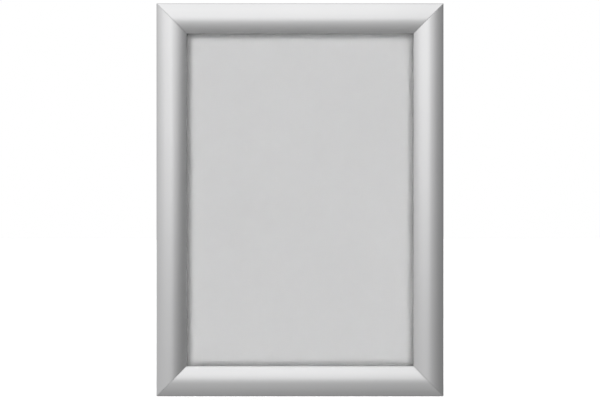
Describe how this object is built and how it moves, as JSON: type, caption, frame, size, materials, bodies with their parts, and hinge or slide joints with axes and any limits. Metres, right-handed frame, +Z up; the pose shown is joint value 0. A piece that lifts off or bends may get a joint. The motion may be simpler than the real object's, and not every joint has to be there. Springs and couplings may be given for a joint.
{
  "type": "snap poster frame",
  "caption": "Wall-mounted snap poster frame for an A4 sheet: rounded, mitred aluminium covers hinged on back profiles, over a clear sheet and a grey backing panel.",
  "frame": {"origin": "centre of the four wall holes, in the back plane that lies on the wall", "axes": "+X to the right seen from the front, +Y towards the wall, +Z up along the long sides"},
  "size_m": [0.236, 0.0126, 0.323],
  "materials": {
    "cover_aluminium": "satin silver anodised",
    "back_aluminium": "satin mill",
    "spring_steel": "polished strip",
    "zinc_steel": "zinc plated",
    "black_steel": "black oxide",
    "grey_panel": "matt light grey",
    "clear_plastic": "clear, anti-glare matt"
  },
  "bodies": {
    "frame": {"back_profile_bottom": "back_aluminium", "back_profile_left": "back_aluminium", "back_profile_top": "back_aluminium", "back_profile_right": "back_aluminium", "springs_bottom": "spring_steel", "springs_left": "spring_steel", "springs_top": "spring_steel", "springs_right": "spring_steel", "corner_bracket_bottom_left": "zinc_steel", "corner_bracket_bottom_right": "zinc_steel", "corner_bracket_top_left": "zinc_steel", "corner_bracket_top_right": "zinc_steel", "grub_screws": "black_steel", "backing_panel": "grey_panel", "clear_sheet": "clear_plastic"},
    "bottom_cover": {"snap_cover_bottom": "cover_aluminium"},
    "left_cover": {"snap_cover_left": "cover_aluminium"},
    "top_cover": {"snap_cover_top": "cover_aluminium"},
    "right_cover": {"snap_cover_right": "cover_aluminium"}
  },
  "joints": [
    {"name": "bottom_cover_hinge", "type": "hinge", "parent": "frame", "child": "bottom_cover", "pos_m": [0, -0.0075, -0.159], "axis": [1, 0, 0], "range_deg": [0, 75], "deforming": ["springs_bottom"]},
    {"name": "left_cover_hinge", "type": "hinge", "parent": "frame", "child": "left_cover", "pos_m": [-0.1155, -0.0075, 0], "axis": [0, 0, -1], "range_deg": [0, 75], "deforming": ["springs_left"]},
    {"name": "top_cover_hinge", "type": "hinge", "parent": "frame", "child": "top_cover", "pos_m": [0, -0.0075, 0.159], "axis": [-1, 0, 0], "range_deg": [0, 75], "deforming": ["springs_top"]},
    {"name": "right_cover_hinge", "type": "hinge", "parent": "frame", "child": "right_cover", "pos_m": [0.1155, -0.0075, 0], "axis": [0, 0, 1], "range_deg": [0, 75], "deforming": ["springs_right"]}
  ]
}
